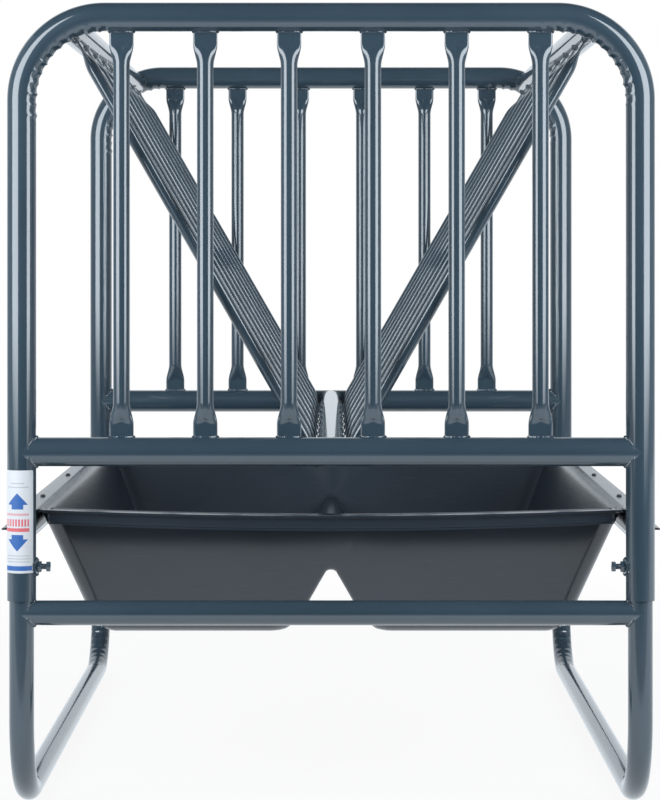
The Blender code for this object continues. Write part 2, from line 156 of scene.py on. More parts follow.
def roughen(shader, height, strength, distance):
    """Bump a finish by the height of a pattern."""
    relief = {"Height": height, "Strength": strength, "Distance": distance}
    feed(shader, "Normal", height.node("Bump", relief))


def powder_coat(name, colour, pale):
    """Glossy baked powder coat: faint cloudiness, fine orange peel and a few pale specks."""
    material, shader, place = new_finish(name)
    shader.inputs["Coat Weight"].default_value = 1.0
    shader.inputs["Coat Roughness"].default_value = 0.06
    shader.inputs["Coat IOR"].default_value = 1.8
    shader.inputs["Specular IOR Level"].default_value = 0.2
    clouds = place.noise(7.0, 3.0)
    peel = place.noise(520.0, 1.0)
    grit = place.node("TexVoronoi", {"Vector": place, "Scale": 160.0})
    speck = 1 - grit.fade(0.05, 0.09)
    dust = speck * place.noise(31.0).fade(0.58, 0.72)
    cloudy = clouds.fade(0.3, 0.7).blend((*colour, 1), (*pale, 1))
    feed(shader, "Base Color", (dust * 0.35).blend(cloudy, (0.30, 0.33, 0.36, 1)))
    feed(shader, "Roughness", 0.27 + clouds * 0.08 + dust * 0.3)
    roughen(shader, peel, 0.05, 0.0004)
    return material


def set_finish(piece, material):
    piece.data.materials.clear()
    piece.data.materials.append(material)


def start_fresh():
    bpy.ops.object.select_all(action="DESELECT")


def named(name):
    """Name the object that was just added, and return it."""
    added = bpy.context.object
    added.name = name
    return added


def apply_modifier(piece, name, kind, **settings):
    """Add a modifier to a piece with these settings and apply it."""
    bpy.context.view_layer.objects.active = piece
    modifier = piece.modifiers.new(name, kind)
    for setting, choice in settings.items():
        setattr(modifier, setting, choice)
    bpy.ops.object.modifier_apply(modifier=name)


def take_up(piece):
    """Select this piece alone, as the active one."""
    start_fresh()
    piece.select_set(True)
    bpy.context.view_layer.objects.active = piece


def open_piece(piece):
    """Take a piece into edit mode."""
    take_up(piece)
    bpy.ops.object.mode_set(mode="EDIT")


def close_piece():
    bpy.ops.object.mode_set(mode="OBJECT")


def pick_all():
    bpy.ops.mesh.select_all(action="SELECT")


def face_outwards():
    """Turn an open piece's faces outwards."""
    pick_all()
    bpy.ops.mesh.normals_make_consistent(inside=False)


def give_wall(piece, thickness):
    """Thicken a shell inwards into a wall."""
    apply_modifier(piece, "wall", "SOLIDIFY", thickness=thickness, offset=-1,
                   use_even_offset=True)


def settle(piece):
    """Put the piece's place, turn and scale into its mesh."""
    take_up(piece)
    bpy.ops.object.transform_apply(location=True, rotation=True, scale=True)


def shade(piece):
    take_up(piece)
    bpy.ops.object.shade_smooth_by_angle(angle=SHARP_ANGLE)


def hand_over(piece, body, slot_name, material, *nodes):
    """Shade and finish a piece, and set it in the frame in place of its CAD nodes."""
    shade(piece)
    set_finish(piece, material)
    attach(piece, body)
    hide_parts(*nodes)


def crush_bend(tube, radius, centre, start_side, end_side, height):
    """Raise the sharp folds that a bender leaves along the inside of a bend."""
    across = start_side.cross(end_side)
    inner_arc = math.pi / 2 * (BEND_RADIUS - radius)
    for vertex in tube.data.vertices:
        from_centre = vertex.co - centre
        sideways = across * from_centre.dot(across)
        before, after = from_centre.dot(end_side), from_centre.dot(start_side)
        if before < 0:
            outward, place = start_side * after, before
        elif after < 0:
            outward, place = end_side * before, inner_arc - after
        else:
            outward = from_centre - sideways
            place = inner_arc * math.atan2(before, after) / (math.pi / 2)
        innerness = (BEND_RADIUS - outward.length) / radius
        share = (innerness - FOLD_SPREAD[0]) / (FOLD_SPREAD[1] - FOLD_SPREAD[0])
        ends = min(place + FOLD_REACH, inner_arc + FOLD_REACH / 3 - place) / (FOLD_REACH / 3)
        share, ends = min(max(share, 0.0), 1.0), min(max(ends, 0.0), 1.0)
        if share * ends == 0 or abs(from_centre.dot(across)) > radius * 1.1:
            continue
        fold = place / FOLD_PITCH
        wander = math.sin(FOLD_BEAT * math.floor(fold) + 1)
        uneven = 1 - FOLD_UNEVENNESS + FOLD_UNEVENNESS * wander
        crest = uneven * (1 - abs(2 * (fold % 1) - 1)) ** 2
        ripple = fold * RIPPLES_PER_FOLD + RIPPLE_START
        crest += FOLD_RIPPLE * (1 - abs(2 * (ripple % 1) - 1)) ** 2
        from_line = outward.normalized() * (outward.length - BEND_RADIUS) + sideways
        vertex.co += from_line.normalized() * (crest - FOLD_SUNK) * height * ends * share ** 2


def draw_run(run, after_bend, before_bend):
    """Draw the ring out along a straight run, in short steps next to a bend."""
    step = run.normalized() * (FOLD_REACH / FOLD_REACH_STEPS)
    rest = run - step * (FOLD_REACH_STEPS * (after_bend + before_bend))
    first = [step] * (FOLD_REACH_STEPS * after_bend)
    last = [step] * (FOLD_REACH_STEPS * before_bend)
    for move in [*first, rest, *last]:
        bpy.ops.mesh.extrude_region_move(TRANSFORM_OT_translate={"value": move})


def bent_tube(name, radius, start, runs, fold_height):
    """Draw a ring out along straight runs, with a square bend between each two of them."""
    start_fresh()
    bpy.ops.mesh.primitive_circle_add(vertices=TUBE_SIDES, radius=radius, location=start)
    tube = named(name)
    open_piece(tube)
    place = Vector(start)
    bends = []
    for number, run in enumerate(runs):
        draw_run(run, number > 0, number < len(runs) - 1)
        place += run
        if number == len(runs) - 1:
            break
        along, turned = run.normalized(), runs[number + 1].normalized()
        centre = place + turned * BEND_RADIUS
        bpy.ops.mesh.spin(steps=BEND_STEPS, angle=-math.pi / 2, center=centre,
                          axis=along.cross(turned))
        place += (along + turned) * BEND_RADIUS
        bends.append((centre, -turned, along))
    pick_all()
    bpy.ops.mesh.remove_doubles(threshold=TINY)
    face_outwards()
    close_piece()
    settle(tube)
    for centre, start_side, end_side in bends:
        crush_bend(tube, radius, centre, start_side, end_side, fold_height)
    give_wall(tube, TUBE_WALL)
    return tube


base_paint = powder_coat("base_paint_coat", SLATE_BLUE, SLATE_BLUE_PALE)
leg_run = Vector((0, 0, -(SKID_LEG_TOP - BASE_RADIUS - BEND_RADIUS)))
ground_run = Vector((0, 2 * (END_Y - BEND_RADIUS), 0))
for side, sign in SIDE_SIGNS:
    skid = bent_tube(side + "_skid_tube", BASE_RADIUS, (sign * LEG_X, -END_Y, SKID_LEG_TOP),
                     [leg_run, ground_run, -leg_run], SKID_FOLD_HEIGHT)
    hand_over(skid, "base", "base_paint", base_paint, side + "_skid")


# A cross bar of the same tube joins the skid legs at each end, just under the sleeves. Its ends
# are cut to the legs' round and welded to them all round, and the beads are coated over.
BEAD_RADIUS = 0.0026
BEAD_SINK = 0.0034
BEAD_SIDES = 10
BEAD_STEPS = 160
BEAD_RIPPLES = 40
BEAD_RIPPLE = 0.16
BEAD_SWELL = 0.14
RAIL_AXES = {"X": (0, math.pi / 2, 0), "Y": (math.pi / 2, 0, 0)}


def weld_bead(name, thickness, path, ripples=BEAD_RIPPLES):
    """A rippled weld round a closed path, which gives a point, its outward side and its run."""
    start_fresh()
    bpy.ops.mesh.primitive_torus_add(major_segments=BEAD_STEPS, minor_segments=BEAD_SIDES,
                                     major_radius=1.0, minor_radius=0.2)
    bead = named(name)
    for number, vertex in enumerate(bead.data.vertices):
        turn = 2 * math.pi * (number // BEAD_SIDES) / BEAD_STEPS
        angle = 2 * math.pi * (number % BEAD_SIDES) / BEAD_SIDES
        point, outward, along = path(turn)
        reach = thickness * (1 + BEAD_RIPPLE * math.sin(ripples * turn)
                             + BEAD_SWELL * math.sin(7 * turn + 1.3))
        vertex.co = point + outward * reach * math.cos(angle) + along * reach * math.sin(angle)
    open_piece(bead)
    face_outwards()
    close_piece()
    return bead


def join_onto(piece, *others):
    """Join the others' meshes into the piece's."""
    take_up(piece)
    for other in others:
        other.select_set(True)
    bpy.ops.object.join()


def coped_rail(name, radius, middle, axis, reach):
    """A straight tube whose two ends follow reach(point), with a weld bead round each."""
    middle = Vector(middle)
    index = "XYZ".index(axis)
    start_fresh()
    bpy.ops.mesh.primitive_cylinder_add(vertices=TUBE_SIDES, radius=radius, depth=1.0,
                                        end_fill_type="NOTHING", location=middle,
                                        rotation=RAIL_AXES[axis])
    rail = named(name)
    settle(rail)
    give_wall(rail, TUBE_WALL)
    for vertex in rail.data.vertices:
        side = math.copysign(1, vertex.co[index] - middle[index])
        vertex.co[index] = middle[index] + side * reach(vertex.co)
    run = Vector((0, 0, 0))
    run[index] = 1
    cross = Vector((0, 0, 1)).cross(run)
    nearest = min(reach(vertex.co) for vertex in rail.data.vertices)

    def bead_path(side):
        def path(turn):
            outward = cross * math.cos(turn) + Vector((0, 0, 1)) * math.sin(turn)
            point = middle + outward * radius
            sink = BEAD_SINK * (reach(point) - nearest) / radius
            point -= outward * sink
            point[index] = middle[index] + side * (reach(point) - BEAD_RADIUS / 3)
            return point, outward, run * side
        return path

    beads = [weld_bead(name + "_weld", BEAD_RADIUS, bead_path(side)) for side in (-1, 1)]
    join_onto(rail, *beads)
    return rail


def reach_of_leg(radius, leg_y):
    """How far a rail along X reaches at a point before it meets the legs' round."""
    return lambda point: LEG_X - math.sqrt(max(radius ** 2 - (point.y - leg_y) ** 2, 0))


bar_low, bar_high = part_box("front_base_bar")
base_bar_z = (bar_low.z + bar_high.z) / 2
for end, y in END_YS:
    bar = coped_rail(end + "_base_cross_bar", BASE_RADIUS, (0, y, base_bar_z), "X",
                     reach_of_leg(BASE_RADIUS, y))
    hand_over(bar, "base", "base_paint", base_paint, end + "_base_bar")


# Each end frame is an arch of 1.75 inch tube. Its legs are the sleeves that slide over the
# skids' legs. Its two bends are crushed into folds on the inside, as the skids' bends are.
arch_low, arch_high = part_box("front_arch")
FRAME_RADIUS = (arch_high.y - arch_low.y) / 2
TOP_BAR_Z = arch_high.z - FRAME_RADIUS
SLEEVE_BOTTOM = arch_low.z
ARCH_FOLD_HEIGHT = 0.0030
bolt_low, bolt_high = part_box("front_left_clamp_bolt")
CLAMP_Z = (bolt_low.z + bolt_high.z) / 2
BOLT_RADIUS = 0.0047
BOLT_CLEARANCE = 0.0004
SLEEVE_HOLE_LENGTH = 0.012


def cylinder(name, sides, radius, length, middle=(0, 0, 0), rotation=(0, 0, 0)):
    """A solid cylinder round its middle, along Z unless it is turned."""
    start_fresh()
    bpy.ops.mesh.primitive_cylinder_add(vertices=sides, radius=radius, depth=length,
                                        location=middle, rotation=rotation)
    return named(name)


def cut_with(piece, tool, operation="DIFFERENCE"):
    """Cut a piece with a tool, and take the tool away."""
    apply_modifier(piece, "cut", "BOOLEAN", operation=operation, object=tool)
    bpy.data.objects.remove(tool)


def drill(piece, place, radius, length, rotation=(0, 0, 0)):
    """A round hole through the piece, centred on a place."""
    cut_with(piece, cylinder("drill_bit", 32, radius, length, place, rotation))


def coat(piece, node, body="upper_frame"):
    """Hand a piece over in the frame's paint."""
    hand_over(piece, body, "frame_paint", frame_paint, node)


frame_paint = powder_coat("frame_paint_coat", SLATE_BLUE, SLATE_BLUE_PALE)
sleeve_run = Vector((0, 0, TOP_BAR_Z - BEND_RADIUS - SLEEVE_BOTTOM))
top_run = Vector((2 * (LEG_X - BEND_RADIUS), 0, 0))
for end, y in END_YS:
    arch = bent_tube(end + "_arch_tube", FRAME_RADIUS, (-LEG_X, y, SLEEVE_BOTTOM),
                     [sleeve_run, top_run, -sleeve_run], ARCH_FOLD_HEIGHT)
    for side, sign in SIDE_SIGNS:
        drill(arch, (sign * (LEG_X - FRAME_RADIUS), y, CLAMP_Z), BOLT_RADIUS + BOLT_CLEARANCE,
              SLEEVE_HOLE_LENGTH, RAIL_AXES["X"])
    coat(arch, end + "_arch")


# A lower rail of the same tube ties each arch's legs together under the pickets. It is coped
# to the legs and welded to them, as the base's cross bars are.
rail_low, rail_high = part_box("front_lower_rail")
LOWER_RAIL_Z = (rail_low.z + rail_high.z) / 2
for end, y in END_YS:
    rail = coped_rail(end + "_lower_rail_tube", FRAME_RADIUS, (0, y, LOWER_RAIL_Z), "X",
                      reach_of_leg(FRAME_RADIUS, y))
    coat(rail, end + "_lower_rail")


# Six upright pickets of 1 inch tube fill each end frame. Their ends are pressed flat in the
# plane of the frame, widen over the last few centimetres, and are welded to both bars.
PICKET_RADIUS = 0.0127
PICKET_SIDES = 48
FLAT_THICKNESS = 0.0045
FLAT_LENGTH = 0.019
FLARE_LENGTH = 0.034
FLARE_RINGS = 16
FLARE_LATENESS = 0.2
FLARE_POWER = 0.8
PICKET_BEAD_RADIUS = 0.0021
FLAT_BEAD_POWER = 0.6


def flat_point(radius, angle):
    """Where a point of a round tube's ring lies once the tube is pressed flat, wide along X."""
    half_thick = FLAT_THICKNESS / 2
    half_straight = math.pi * (radius - half_thick) / 2
    arc = radius * min(angle, math.pi - angle)
    corner = math.pi / 2 * half_thick
    if arc < corner:
        x = half_straight + half_thick * math.cos(arc / half_thick)
        y = half_thick * math.sin(arc / half_thick)
    else:
        x = half_straight - (arc - corner)
        y = half_thick
    return (x if angle < math.pi / 2 else -x), y


def pressed_tube(name, radius, length):
    """A round tube along Z whose two ends are pressed flat, wide along X."""
    tube = cylinder(name, PICKET_SIDES, radius, length)
    open_piece(tube)
    for ring in range(FLARE_RINGS + 1):
        z = length / 2 - FLAT_LENGTH - FLARE_LENGTH * ring / FLARE_RINGS
        for side in (-1, 1):
            pick_all()
            bpy.ops.mesh.bisect(plane_co=(0, 0, side * z), plane_no=(0, 0, 1), threshold=TINY)
    close_piece()
    for vertex in tube.data.vertices:
        x, y, z = vertex.co
        share = (length / 2 - FLAT_LENGTH - abs(z)) / FLARE_LENGTH
        if share > 1:
            continue
        share = max(share, 0.0)
        width_share = share * share * (3 - 2 * share)
        late = FLARE_LATENESS * (1 - abs(x) / radius)
        opened = math.sin(max(share - late, 0.0) / (1 - late) * math.pi / 2)
        depth_share = opened ** FLARE_POWER
        angle = math.acos(max(-1.0, min(1.0, x / radius)))
        flat_x, flat_y = flat_point(radius, angle)
        vertex.co.x = flat_x + (x - flat_x) * width_share
        vertex.co.y = math.copysign(flat_y + (abs(y) - flat_y) * depth_share, y)
    return tube


def bead_round_flat(name, radius, z, up, thickness, ripples=BEAD_RIPPLES):
    """The weld round a pressed end, on the bar it stands on."""
    half_width = math.pi * (radius - FLAT_THICKNESS / 2) / 2 + FLAT_THICKNESS / 2

    def path(turn):
        outward = Vector((math.cos(turn), math.sin(turn), 0))
        x, y = [half * math.copysign(abs(share) ** FLAT_BEAD_POWER, share) for half, share in
                ((half_width, math.cos(turn)), (FLAT_THICKNESS / 2, math.sin(turn)))]
        return Vector((x, y, z)), outward, Vector((0, 0, up))

    return weld_bead(name, thickness, path, ripples)


def copy_of(pattern, name, placing):
    """A copy of a pattern piece with a mesh of its own, put in its place by a matrix."""
    copy = bpy.data.objects.new(name, pattern.data.copy())
    bpy.context.collection.objects.link(copy)
    copy.data.transform(placing)
    return copy


picket_low, picket_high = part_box("front_picket_1")
picket_length = picket_high.z - picket_low.z
picket = pressed_tube("picket_pattern", PICKET_RADIUS, picket_length)
beads = [bead_round_flat("picket_weld", PICKET_RADIUS, up * picket_length / 2, up,
                         PICKET_BEAD_RADIUS) for up in (-1, 1)]
join_onto(picket, *beads)
for end, y in END_YS:
    for number in range(1, 7):
        node = f"{end}_picket_{number}"
        low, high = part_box(node)
        copy = copy_of(picket, node + "_tube", Matrix.Translation((low + high) / 2))
        coat(copy, node)
bpy.data.objects.remove(picket)


# Five long rails of 1.75 inch tube join the end frames: two top rails at the arches' bends, two
# under the trough's rims and one along the foot of the hay rack. Their ends are coped and welded.
bend_x = LEG_X - BEND_RADIUS
bend_z = TOP_BAR_Z - BEND_RADIUS


def reach_into_bend(point):
    from_line = math.hypot(abs(point.x) - bend_x, point.z - bend_z) - BEND_RADIUS
    return END_Y - math.sqrt(max(FRAME_RADIUS ** 2 - from_line ** 2, 0))


def reach_into_leg(point):
    return END_Y - math.sqrt(max(FRAME_RADIUS ** 2 - (abs(point.x) - LEG_X) ** 2, 0))


def reach_into_lower_rail(point):
    return END_Y - math.sqrt(max(FRAME_RADIUS ** 2 - (point.z - LOWER_RAIL_Z) ** 2, 0))


for node, reach in (("left_top_rail", reach_into_bend), ("right_top_rail", reach_into_bend),
                    ("left_trough_rail", reach_into_leg), ("right_trough_rail", reach_into_leg),
                    ("centre_rail", reach_into_lower_rail)):
    low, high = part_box(node)
    rail = coped_rail(node + "_tube", FRAME_RADIUS, (low + high) / 2, "Y", reach)
    coat(rail, node)


# The hay rack is nine slanted bars a side, of 3/4 inch tube pressed flat at both ends. Each bar
# runs from a top rail down to the side of the centre rail, and is welded to both.
RACK_RADIUS = 0.009525
RACK_BEAD_RADIUS = 0.0048
RACK_BEAD_RIPPLES = 8
RACK_HEAD_REACH = 0.007
RACK_FOOT_BEAD_RISE = 0.004
RACK_HEAD_BEAD_RISE = 0.003
RACK_GAP = 0.0006
centre_line = Vector((0, 0, LOWER_RAIL_Z))
low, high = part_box("right_rack_bar_1")
rail_low, rail_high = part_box("right_top_rail")
top_line = Vector(((rail_low.x + rail_high.x) / 2, 0, (rail_low.z + rail_high.z) / 2))
lap = FRAME_RADIUS + FLAT_THICKNESS / 2 + RACK_GAP
down = centre_line - top_line
slant = math.atan2(-down.x, -down.z) - math.asin(lap / down.length)
bar_length = (high.z - low.z - FLAT_THICKNESS * math.sin(slant)) / math.cos(slant)
for side, sign in SIDE_SIGNS:
    turn = Matrix.Rotation(sign * slant, 4, "Y") @ Matrix.Rotation(math.pi / 2, 4, "Z")
    bar = pressed_tube("rack_bar_pattern", RACK_RADIUS, bar_length)
    for vertex in bar.data.vertices:
        if vertex.co.z > bar_length / 2 - TINY:
            vertex.co.z += RACK_HEAD_REACH
    beads = [bead_round_flat("rack_weld", RACK_RADIUS, z, up, RACK_BEAD_RADIUS, RACK_BEAD_RIPPLES)
             for z, up in ((RACK_FOOT_BEAD_RISE - bar_length / 2, -1),
                           (bar_length / 2 + RACK_HEAD_BEAD_RISE, 1))]
    join_onto(bar, *beads)
    for number in range(1, 10):
        node = f"{side}_rack_bar_{number}"
        low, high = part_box(node)
        copy = copy_of(bar, node + "_tube", Matrix.Translation((low + high) / 2) @ turn)
        coat(copy, node)
    bpy.data.objects.remove(bar)


# The trough is one moulding in dark grey polyethylene. A tapered tub, with a raised ridge down
# its middle, hangs by long rims rolled over the rails. Both end rims sag, and turn down into a
# skirt with a moulded lip above and a bead at its foot.
TROUGH_WALL = 0.004
FLOOR_Z = 0.259
TUB_HALF_WIDTH = 0.4535
TUB_HALF_LENGTH = 0.679
WALL_SLOPE = 0.408
TUB_EDGE_OFFSET = 0.028
TUB_EDGE_STEPS = 8
RIDGE_TOP_Z = 0.363
RIDGE_TOP_WIDTH = 0.013
RIDGE_SIDE_ANGLE = math.radians(28.6)
RIDGE_FILLET = 0.010
RIM_HALF_LENGTH = 0.712
RIM_CORNER = 0.018
RIM_END_CUTS = 15
RIM_SAG = 0.009
SAG_HALF_WIDTH = 0.438
MOUTH_ROUNDING = 0.014
ROLL_STEPS = 12
FLARE_RADIUS = 0.005
FLARE_DROP = 0.0015
FLARE_STEPS = 5
FLARE_REACH = 0.0364
FLARE_THINNING = 0.0018
CURL_X = 0.431
CURL_RADIUS = 0.012
CURL_CUTS = (0.431, 0.434, 0.437, 0.4395, 0.4415, 0.443, 0.4468, 0.4507)
SKIRT_END_DEPTH = 0.89
SKIRT_SLANT_X = (0.4415, 0.4515)
SKIRT_ROWS = ((0.0005, 0.0), (0.0030, 0.0060), (0.0065, 0.0055), (0.0115, 0.0050),
              (0.0160, 0.0053), (0.0166, 0.0068), (0.0176, 0.0058), (0.0196, 0.0045))
SKIRT_ROW_SPAN = 0.0002
SKIRT_LEAST_SHARE = 0.12
SKIRT_FACE_INSET = 0.004
LIP_RISE = 0.0018
FOOT_LIFT = 0.007
FOOT_LIFT_X = (0.063, 0.097)
FOOT_LIFT_CUTS = (0.097, 0.089, 0.081, 0.073)
FOOT_LIFT_TOP = 0.012
FOOT_LIFT_MARGIN = 0.008
GAP = 0.0003
rail_low, rail_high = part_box("right_trough_rail")
TROUGH_RAIL_Z = (rail_low.z + rail_high.z) / 2
RIM_Z = TROUGH_RAIL_Z + FRAME_RADIUS + GAP


def moulded_plastic(name, colour, pale):
    """Rotomoulded polyethylene: satin, faintly cloudy, with a fine pebbled skin and scuffs."""
    material, shader, place = new_finish(name)
    shader.inputs["Specular IOR Level"].default_value = 0.75
    clouds = place.noise(4.0, 4.0)
    pebble = place.noise(420.0, 2.0)
    stretched = place.node("Mapping", {"Vector": place, "Scale": (2.0, 14.0, 30.0)})
    scuffs = stretched.noise(9.0, 6.0)
    marks = scuffs.fade(0.60, 0.74)
    cloudy = clouds.fade(0.3, 0.7).blend((*colour, 1), (*pale, 1))
    feed(shader, "Base Color", (marks * 0.18).blend(cloudy, (0.07, 0.08, 0.09, 1)))
    feed(shader, "Roughness", 0.17 + clouds * 0.05 - marks * 0.03)
    roughen(shader, pebble, 0.12, 0.0006)
    return material


def pick(piece, kind, test):
    """Select just the faces, edges or vertices that pass a test, in edit mode."""
    bpy.ops.mesh.select_mode(type=kind)
    bpy.ops.mesh.select_all(action="DESELECT")
    mesh = bmesh.from_edit_mesh(piece.data)
    items = {"FACE": mesh.faces, "EDGE": mesh.edges, "VERT": mesh.verts}[kind]
    for item in [item for item in items if test(item)]:
        item.select_set(True)
    bmesh.update_edit_mesh(piece.data)


def move_picked(piece, place):
    """Put each selected vertex where place(co) says."""
    mesh = bmesh.from_edit_mesh(piece.data)
    for vertex in mesh.verts:
        if vertex.select:
            vertex.co = place(vertex.co)
    bmesh.update_edit_mesh(piece.data)


def extrude_picked(piece, place):
    """Extrude the selected edges and put the new ones where place(co) says."""
    bpy.ops.mesh.extrude_region_move(TRANSFORM_OT_translate={"value": (0, 0, 0)})
    move_picked(piece, place)


def round_picked(offset, segments):
    """Round the selected edges."""
    bpy.ops.mesh.bevel(offset=offset, offset_type="OFFSET", segments=segments, profile=0.5,
                       affect="EDGES")


def tapered_block(name, half_width, half_length, bottom, top, foot_scale):
    """A closed block whose foot is scaled in X and Y, left open in edit mode."""
    start_fresh()
    bpy.ops.mesh.primitive_cube_add(size=1, location=(0, 0, (bottom + top) / 2),
                                    scale=(2 * half_width, 2 * half_length, top - bottom))
    block = named(name)
    settle(block)
    open_piece(block)
    pick(block, "FACE", lambda face: face.normal.z < -0.5)
    bpy.ops.transform.resize(value=(*foot_scale, 1), center_override=(0, 0, bottom))
    return block


def sag_at(x, y):
    """How far the rim droops at the middle of each end."""
    if abs(y) < TUB_HALF_LENGTH - TUB_EDGE_OFFSET:
        return 0.0
    return RIM_SAG * max(0.0, 1 - (x / SAG_HALF_WIDTH) ** 2)


def mouth_place(co):
    return Vector((co.x, co.y, RIM_Z - sag_at(co.x, co.y)))


def flange_place(co):
    """From the tub's mouth out to the edge of the flat rim, with a rounded corner."""
    straight_x = TUB_HALF_WIDTH - TUB_EDGE_OFFSET
    straight_y = TUB_HALF_LENGTH - TUB_EDGE_OFFSET
    inner = Vector((min(abs(co.x), straight_x), min(abs(co.y), straight_y)))
    out = (Vector((abs(co.x), abs(co.y))) - inner).normalized()
    x = inner.x * (LEG_X - RIM_CORNER) / straight_x + out.x * RIM_CORNER
    y = inner.y * (RIM_HALF_LENGTH - RIM_CORNER) / straight_y + out.y * RIM_CORNER
    x, y = math.copysign(x, co.x), math.copysign(y, co.y)
    return Vector((x, y, RIM_Z - sag_at(x, y)))


def roll_profile():
    """The rolled edge seen along its rail: over the top, down the side and out level."""
    radius = FRAME_RADIUS + GAP
    over = [math.pi / 2 * step / ROLL_STEPS for step in range(1, ROLL_STEPS + 1)]
    flare = [math.pi / 2 * step / FLARE_STEPS for step in range(FLARE_STEPS + 1)]
    foot = -FLARE_DROP - FLARE_RADIUS
    return ([(radius * math.sin(turn), radius * math.cos(turn)) for turn in over]
            + [(radius + FLARE_RADIUS * (1 - math.cos(turn)),
                foot + FLARE_RADIUS * (1 - math.sin(turn))) for turn in flare]
            + [(FLARE_REACH, foot)])


def roll_place(out, up):
    """A place on the rolled edge, from the rail's centre line."""
    return lambda co: Vector((math.copysign(LEG_X + out, co.x), co.y, TROUGH_RAIL_Z + up))


def curl_at(x):
    """How far the skirt has turned back under the rim at x, in a quarter round at each end."""
    across = min(max(abs(x) - CURL_X, 0.0), CURL_RADIUS)
    return CURL_RADIUS - math.sqrt(CURL_RADIUS ** 2 - across ** 2)


def skirt_share(x):
    """How deep the skirt hangs at x, as a share of its depth at the middle."""
    slant = (SKIRT_SLANT_X[1] - abs(x)) / (SKIRT_SLANT_X[1] - SKIRT_SLANT_X[0])
    lift = (1 - SKIRT_END_DEPTH) * (x / SAG_HALF_WIDTH) ** 2
    return min(max(slant, SKIRT_LEAST_SHARE), 1.0) * (1 - lift)


def skirt_place(depth):
    return lambda co: mouth_place(co) - Vector((0, 0, depth * skirt_share(co.x)))


def skirt_row(co):
    """How far in the row of the skirt that a point is on stands, or None off the skirt."""
    if abs(co.y) < TUB_HALF_LENGTH + SKIRT_FACE_INSET:
        return None
    depth = (RIM_Z - sag_at(co.x, co.y) - co.z) / skirt_share(co.x)
    rows = [inward for row_depth, inward in SKIRT_ROWS
            if abs(depth - row_depth) < SKIRT_ROW_SPAN]
    return rows[0] if rows else None


def skirt_inward(co):
    """The way in from the skirt's face at co, level."""
    across = min(max(abs(co.x) - CURL_X, 0.0), CURL_RADIUS) / CURL_RADIUS
    inward_y = math.sqrt(1 - across ** 2)
    return Vector((-math.copysign(across, co.x), -math.copysign(inward_y, co.y), 0))


def is_ridge_side(face):
    half_width = RIDGE_TOP_WIDTH / 2 + (RIDGE_TOP_Z - FLOOR_Z) * math.tan(RIDGE_SIDE_ANGLE)
    inside = all(abs(vertex.co.x) < half_width + TINY for vertex in face.verts)
    return inside and abs(face.normal.y) < 0.005


def is_notch_edge(edge):
    sides = [is_ridge_side(face) for face in edge.link_faces]
    return len(sides) == 2 and sides[0] != sides[1]


inset = (RIM_Z - FLOOR_Z) * WALL_SLOPE
trough = tapered_block("trough_moulding", TUB_HALF_WIDTH, TUB_HALF_LENGTH, FLOOR_Z, RIM_Z,
                       (1 - inset / TUB_HALF_WIDTH, 1 - inset / TUB_HALF_LENGTH))
pick(trough, "EDGE", lambda edge: any(vertex.co.z < RIM_Z - 0.1 for vertex in edge.verts))
round_picked(TUB_EDGE_OFFSET, TUB_EDGE_STEPS)
close_piece()

hollow_foot = FLOOR_Z - TUB_EDGE_OFFSET
foot_half = RIDGE_TOP_WIDTH / 2 + (RIDGE_TOP_Z - hollow_foot) * math.tan(RIDGE_SIDE_ANGLE)
hollow = tapered_block("ridge_hollow", RIDGE_TOP_WIDTH / 2, TUB_HALF_LENGTH, hollow_foot,
                       RIDGE_TOP_Z, (2 * foot_half / RIDGE_TOP_WIDTH, 1))
pick(hollow, "EDGE", lambda edge: all(vertex.co.z > FLOOR_Z for vertex in edge.verts)
     and abs(edge.verts[0].co.y - edge.verts[1].co.y) > TUB_HALF_LENGTH)
round_picked(0.4 * RIDGE_TOP_WIDTH, 5)
close_piece()
cut_with(trough, hollow)

open_piece(trough)
pick(trough, "EDGE", is_notch_edge)
round_picked(RIDGE_FILLET, 4)
pick(trough, "FACE", lambda face: all(abs(v.co.z - RIM_Z) < TINY for v in face.verts))
bpy.ops.mesh.delete(type="ONLY_FACE")
pick(trough, "EDGE", lambda edge: edge.is_boundary
     and abs(edge.verts[0].co.x - edge.verts[1].co.x) > TUB_HALF_WIDTH)
bpy.ops.mesh.subdivide(number_cuts=RIM_END_CUTS)
pick(trough, "EDGE", lambda edge: edge.is_boundary)
move_picked(trough, mouth_place)
extrude_picked(trough, flange_place)
face_outwards()
pick(trough, "EDGE", lambda edge: not edge.is_boundary
     and all(abs((v.co - mouth_place(v.co)).z) < TINY for v in edge.verts)
     and any(face.normal.z ** 2 < 0.5 for face in edge.link_faces)
     and all(abs(v.co.x) < TUB_HALF_WIDTH + TINY and abs(v.co.y) < TUB_HALF_LENGTH + TINY
             for v in edge.verts))
round_picked(MOUTH_ROUNDING, 6)
for across in CURL_CUTS + FOOT_LIFT_CUTS:
    for sign in (-1, 1):
        pick_all()
        bpy.ops.mesh.bisect(plane_co=(sign * across, 0, 0), plane_no=(1, 0, 0), threshold=TINY)
pick(trough, "VERT", lambda vertex: vertex.co.z < FLOOR_Z + FOOT_LIFT_TOP
     and FOOT_LIFT_X[0] - FOOT_LIFT_MARGIN < abs(vertex.co.x) < FOOT_LIFT_X[1] - TINY)
move_picked(trough, lambda co: co + Vector((0, 0, FOOT_LIFT * min(
    (FOOT_LIFT_X[1] - abs(co.x)) / (FOOT_LIFT_X[1] - FOOT_LIFT_X[0]), 1.0) ** 2)))
pick(trough, "EDGE", lambda edge: edge.is_boundary)
move_picked(trough, mouth_place)

pick(trough, "EDGE", lambda edge: edge.is_boundary
     and all(abs(abs(v.co.x) - LEG_X) < TINY for v in edge.verts)
     and abs(edge.verts[0].co.y - edge.verts[1].co.y) > TUB_HALF_LENGTH)
for out, up in roll_profile():
    extrude_picked(trough, roll_place(out, up))

